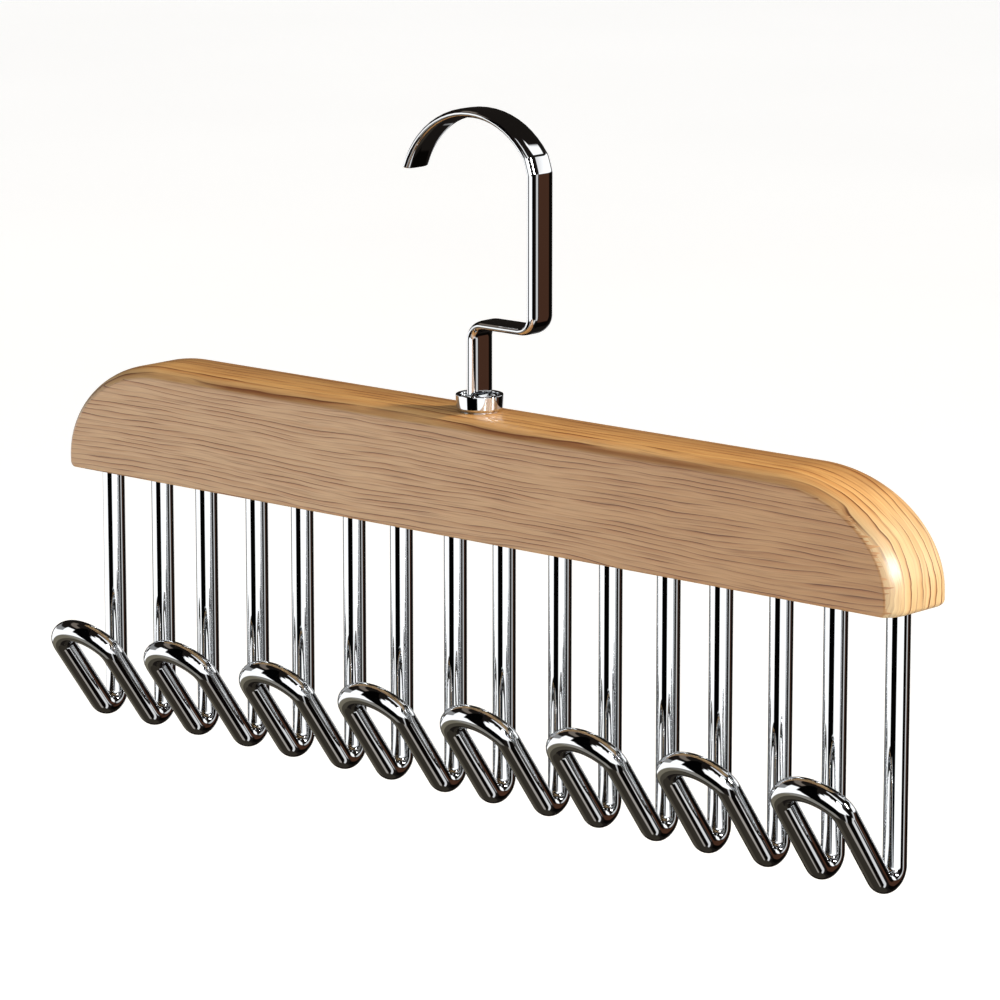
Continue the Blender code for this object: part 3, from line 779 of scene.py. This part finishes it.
def makeFloor():
    # Studio floor, matt off-white paint rolled on in two coats: faintly mottled, no gloss.
    mesher = bmesh.new()
    bmesh.ops.create_circle(mesher, cap_ends=True, segments=96, radius=studio["floorRadius"])
    mesh = bpy.data.meshes.new("floor")
    mesher.to_mesh(mesh)
    mesher.free()
    floor = bpy.data.objects.new("floor", mesh)
    floor.location.z = studio["floorDrop"]
    bpy.context.scene.collection.objects.link(floor)
    material, tree, shader = newMaterial("paintedFloor")
    place = addNode(tree, "ShaderNodeTexCoord").outputs["Object"]
    mottle = addNode(tree, "ShaderNodeTexNoise",
                     {"Scale": 1 / studio["mottleSize"], "Detail": 2.0}, {"Vector": place})
    tone = addNode(tree, "ShaderNodeValToRGB",
                   {"stops": [(0.3, studio["floorShade"]), (0.7, studio["floorColour"])]},
                   {"Fac": mottle.outputs["Fac"]})
    tree.links.new(tone.outputs["Color"], shader.inputs["Base Color"])
    shader.inputs["Roughness"].default_value = 0.9
    shader.inputs["Emission Color"].default_value = linearColour(studio["backdrop"])
    shader.inputs["Emission Strength"].default_value = studio["floorGlow"]
    mesh.materials.append(material)
    floor.visible_glossy = False


def addMirroredPanel(tree, behind, bearing, height, panel):
    left, right, low, high, lean, colour = panel
    soft = studio["edgeSoftness"]
    middle = (low + high) / 2
    leaned = addNode(tree, "ShaderNodeMath", {"operation": "MULTIPLY_ADD", 1: -lean},
                     {0: height, 2: bearing})
    shifted = addNode(tree, "ShaderNodeMath",
                      {"operation": "ADD", 1: lean * middle - (left + right) / 2},
                      {0: leaned.outputs["Value"]})
    wrapped = addNode(tree, "ShaderNodeMath", {"operation": "WRAP", 1: 180.0, 2: -180.0},
                      {0: shifted.outputs["Value"]})
    aside = addNode(tree, "ShaderNodeMath", {"operation": "ABSOLUTE"},
                    {0: wrapped.outputs["Value"]})
    sideways = addNode(tree, "ShaderNodeMapRange", {"From Min": (right - left + soft) / 2,
                                                    "From Max": (right - left - soft) / 2},
                       {"Value": aside.outputs["Value"]})
    raised = addNode(tree, "ShaderNodeMath", {"operation": "SUBTRACT", 1: middle}, {0: height})
    offMiddle = addNode(tree, "ShaderNodeMath", {"operation": "ABSOLUTE"},
                        {0: raised.outputs["Value"]})
    upright = addNode(tree, "ShaderNodeMapRange", {"From Min": (high - low + soft) / 2,
                                                   "From Max": (high - low - soft) / 2},
                      {"Value": offMiddle.outputs["Value"]})
    cover = addNode(tree, "ShaderNodeMath", {"operation": "MULTIPLY"},
                    {0: sideways.outputs["Result"], 1: upright.outputs["Result"]})
    return addNode(tree, "ShaderNodeMix", {"data_type": "RGBA", 7: linearColour(colour)},
                   {0: cover.outputs["Value"], 6: behind}).outputs[2]


def makeWorld():
    # mirroring pieces see the dark room with its panels, everything else even white light
    world = bpy.data.worlds.new("softStudio")
    bpy.context.scene.world = world
    world.use_nodes = True
    tree = world.node_tree
    tree.nodes.clear()
    direction = addNode(tree, "ShaderNodeTexCoord").outputs["Generated"]
    axes = addNode(tree, "ShaderNodeSeparateXYZ", None, {"Vector": direction})
    backward = addNode(tree, "ShaderNodeMath", {"operation": "MULTIPLY", 1: -1.0},
                       {0: axes.outputs["Y"]})
    turn = addNode(tree, "ShaderNodeMath", {"operation": "ARCTAN2"},
                   {0: axes.outputs["X"], 1: backward.outputs["Value"]})
    bearing = addNode(tree, "ShaderNodeMath",
                      {"operation": "MULTIPLY_ADD", 1: math.degrees(1), 2: -studio["azimuth"]},
                      {0: turn.outputs["Value"]})
    rise = addNode(tree, "ShaderNodeMath", {"operation": "ARCSINE"}, {0: axes.outputs["Z"]})
    height = addNode(tree, "ShaderNodeMath", {"operation": "MULTIPLY", 1: math.degrees(1)},
                     {0: rise.outputs["Value"]})
    room = addNode(tree, "ShaderNodeRGB")
    room.outputs[0].default_value = linearColour(studio["room"])
    seen = room.outputs[0]
    for panel in studio["panels"]:
        seen = addMirroredPanel(tree, seen, bearing.outputs["Value"], height.outputs["Value"],
                                panel)
    rays = addNode(tree, "ShaderNodeLightPath")
    mirrored = addNode(tree, "ShaderNodeBackground", {"Strength": studio["mirrored"]},
                       {"Color": seen})
    plain = addNode(tree, "ShaderNodeBackground", {"Color": linearColour(studio["backdrop"]),
                                                   "Strength": studio["fill"]})
    chosen = addNode(tree, "ShaderNodeMixShader", None,
                     {0: rays.outputs["Is Glossy Ray"], 1: plain.outputs["Background"],
                      2: mirrored.outputs["Background"]})
    addNode(tree, "ShaderNodeOutputWorld", None, {"Surface": chosen.outputs["Shader"]})


def addSoftbox(name, bearing, height, size, power, colour, lights, mirrors):
    data = bpy.data.lights.new(name, "AREA")
    data.shape = "RECTANGLE"
    data.size, data.size_y = size
    data.energy = power
    data.color = linearColour(colour)[:3]
    lamp = bpy.data.objects.new(name, data)
    bpy.context.scene.collection.objects.link(lamp)
    a, e = math.radians(bearing + studio["azimuth"]), math.radians(height)
    out = Vector((math.sin(a) * math.cos(e), -math.cos(a) * math.cos(e), math.sin(e)))
    lamp.location = Vector(studio["lampAim"]) + out * studio["lampDistance"]
    lamp.rotation_mode = "QUATERNION"
    lamp.rotation_quaternion = out.to_track_quat("Z", "Y")
    lamp.visible_diffuse = lights
    lamp.visible_glossy = mirrors


def makeCamera():
    a, e = math.radians(studio["azimuth"]), math.radians(studio["elevation"])
    right = Vector((math.cos(a), math.sin(a), 0))
    back = Vector((math.sin(a) * math.cos(e), -math.cos(a) * math.cos(e), math.sin(e)))
    up = back.cross(right)
    data = bpy.data.cameras.new("camera")
    data.sensor_width = studio["sensor"]
    data.lens = studio["lens"]
    data.clip_end = 4 * studio["floorRadius"]
    camera = bpy.data.objects.new("camera", data)
    bpy.context.scene.collection.objects.link(camera)
    base = Vector((0, 0, bar["underside"]))
    aim = base + right * studio["slideRight"] + up * studio["slideUp"]
    camera.matrix_world = Matrix((right, up, back)).transposed().to_4x4()
    camera.location = aim + back * studio["distance"]
    bpy.context.scene.camera = camera


makeFloor()
makeWorld()
for lamp in studio["lamps"]:
    addSoftbox(*lamp)
makeCamera()
bpy.context.scene.view_settings.view_transform = "Standard"
print("studio made")
